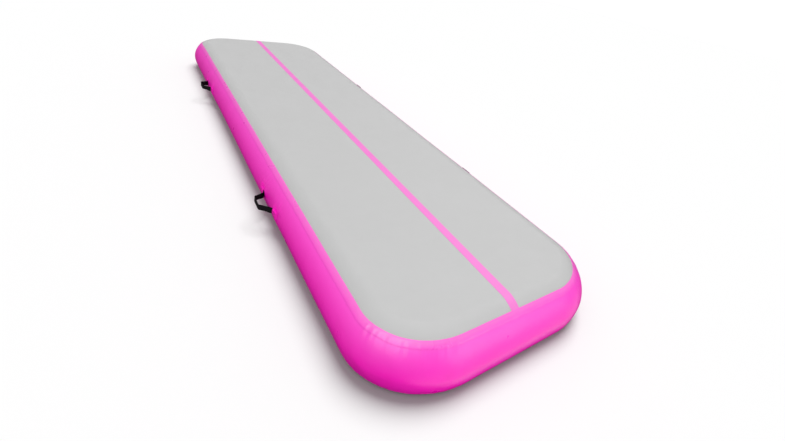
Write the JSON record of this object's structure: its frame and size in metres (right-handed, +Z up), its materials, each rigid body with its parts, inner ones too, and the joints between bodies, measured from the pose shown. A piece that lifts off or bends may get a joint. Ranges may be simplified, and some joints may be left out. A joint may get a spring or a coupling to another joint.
{
  "type": "air track mat",
  "caption": "Long inflatable tumbling mat with a grey top, a centre line, pink side walls, webbing carry handles and an end valve.",
  "frame": {"origin": "on the floor under the middle of the mat, in the plane of its flat bottom", "axes": "+Z up, Y along the length with the valve at +Y, X across the width"},
  "size_m": [1.0962, 3.812, 0.2],
  "materials": {
    "pink_cover": "satin",
    "pink_tape": "satin",
    "grey_cover": "matte",
    "white_laminate": "satin",
    "core_cloth": "matte",
    "black_webbing": "matte",
    "grey_plastic": "satin",
    "black_rubber": "matte",
    "spring_steel": "satin"
  },
  "bodies": {
    "mat": {"drop_stitch_core": "core_cloth", "top_laminate": "white_laminate", "bottom_laminate": "white_laminate", "inner_side_wall": "white_laminate", "outer_side_wall": "pink_cover", "top_panel_left": "grey_cover", "top_panel_right": "grey_cover", "centre_line": "pink_tape", "bottom_panel": "pink_cover", "top_seam_tape": "pink_tape", "bottom_seam_tape": "pink_tape", "wall_lap_tape": "pink_tape", "valve_patch": "pink_cover", "valve_body": "grey_plastic", "valve_gasket": "black_rubber", "valve_nut": "grey_plastic", "valve_spring": "spring_steel", "handle_left_front_sewn_end_a": "black_webbing", "handle_left_front_sewn_end_b": "black_webbing", "handle_left_front_patch_a": "pink_cover", "handle_left_front_patch_b": "pink_cover", "handle_left_back_sewn_end_a": "black_webbing", "handle_left_back_sewn_end_b": "black_webbing", "handle_left_back_patch_a": "pink_cover", "handle_left_back_patch_b": "pink_cover", "handle_right_front_sewn_end_a": "black_webbing", "handle_right_front_sewn_end_b": "black_webbing", "handle_right_front_patch_a": "pink_cover", "handle_right_front_patch_b": "pink_cover", "handle_right_back_sewn_end_a": "black_webbing", "handle_right_back_sewn_end_b": "black_webbing", "handle_right_back_patch_a": "pink_cover", "handle_right_back_patch_b": "pink_cover"},
    "handle_left_front": {"handle_left_front_loop": "black_webbing"},
    "handle_left_back": {"handle_left_back_loop": "black_webbing"},
    "handle_right_front": {"handle_right_front_loop": "black_webbing"},
    "handle_right_back": {"handle_right_back_loop": "black_webbing"},
    "valve_plunger_set": {"valve_plunger": "grey_plastic", "valve_seal": "black_rubber"},
    "valve_strap": {"valve_cap_strap": "black_rubber"},
    "valve_cap": {"valve_cap": "grey_plastic"}
  },
  "joints": [
    {"name": "handle_left_front_swing", "type": "hinge", "parent": "mat", "child": "handle_left_front", "pos_m": [-0.49831, -0.785, 0.084], "axis": [0, 1, 0], "range_deg": [-45, 45], "stiffness_Nm_per_rad": 0.06, "deforming": ["handle_left_front_sewn_end_a", "handle_left_front_sewn_end_b"]},
    {"name": "handle_left_back_swing", "type": "hinge", "parent": "mat", "child": "handle_left_back", "pos_m": [-0.49831, 0.83, 0.084], "axis": [0, 1, 0], "range_deg": [-45, 45], "stiffness_Nm_per_rad": 0.06, "deforming": ["handle_left_back_sewn_end_a", "handle_left_back_sewn_end_b"]},
    {"name": "handle_right_front_swing", "type": "hinge", "parent": "mat", "child": "handle_right_front", "pos_m": [0.49831, -0.785, 0.084], "axis": [0, 1, 0], "range_deg": [-45, 45], "stiffness_Nm_per_rad": 0.06, "deforming": ["handle_right_front_sewn_end_a", "handle_right_front_sewn_end_b"]},
    {"name": "handle_right_back_swing", "type": "hinge", "parent": "mat", "child": "handle_right_back", "pos_m": [0.49831, 0.83, 0.084], "axis": [0, 1, 0], "range_deg": [-45, 45], "stiffness_Nm_per_rad": 0.06, "deforming": ["handle_right_back_sewn_end_a", "handle_right_back_sewn_end_b"]},
    {"name": "valve_plunger_push", "type": "slide", "parent": "mat", "child": "valve_plunger_set", "axis": [0, -0.9664, -0.2571], "range_m": [0, 0.004], "stiffness_N_per_m": 250, "springref_m": -0.004, "deforming": ["valve_spring"]},
    {"name": "valve_cap_flip", "type": "hinge", "parent": "mat", "child": "valve_strap", "pos_m": [0.09, 1.90328, 0.0917], "axis": [0, -0.2571, 0.9664], "range_deg": [0, 135]},
    {"name": "valve_cap_turn", "type": "hinge", "parent": "valve_strap", "child": "valve_cap", "pos_m": [0.12, 1.8969, 0.09], "axis": [0, 0.9664, 0.2571], "range_deg": [0, 90]}
  ]
}
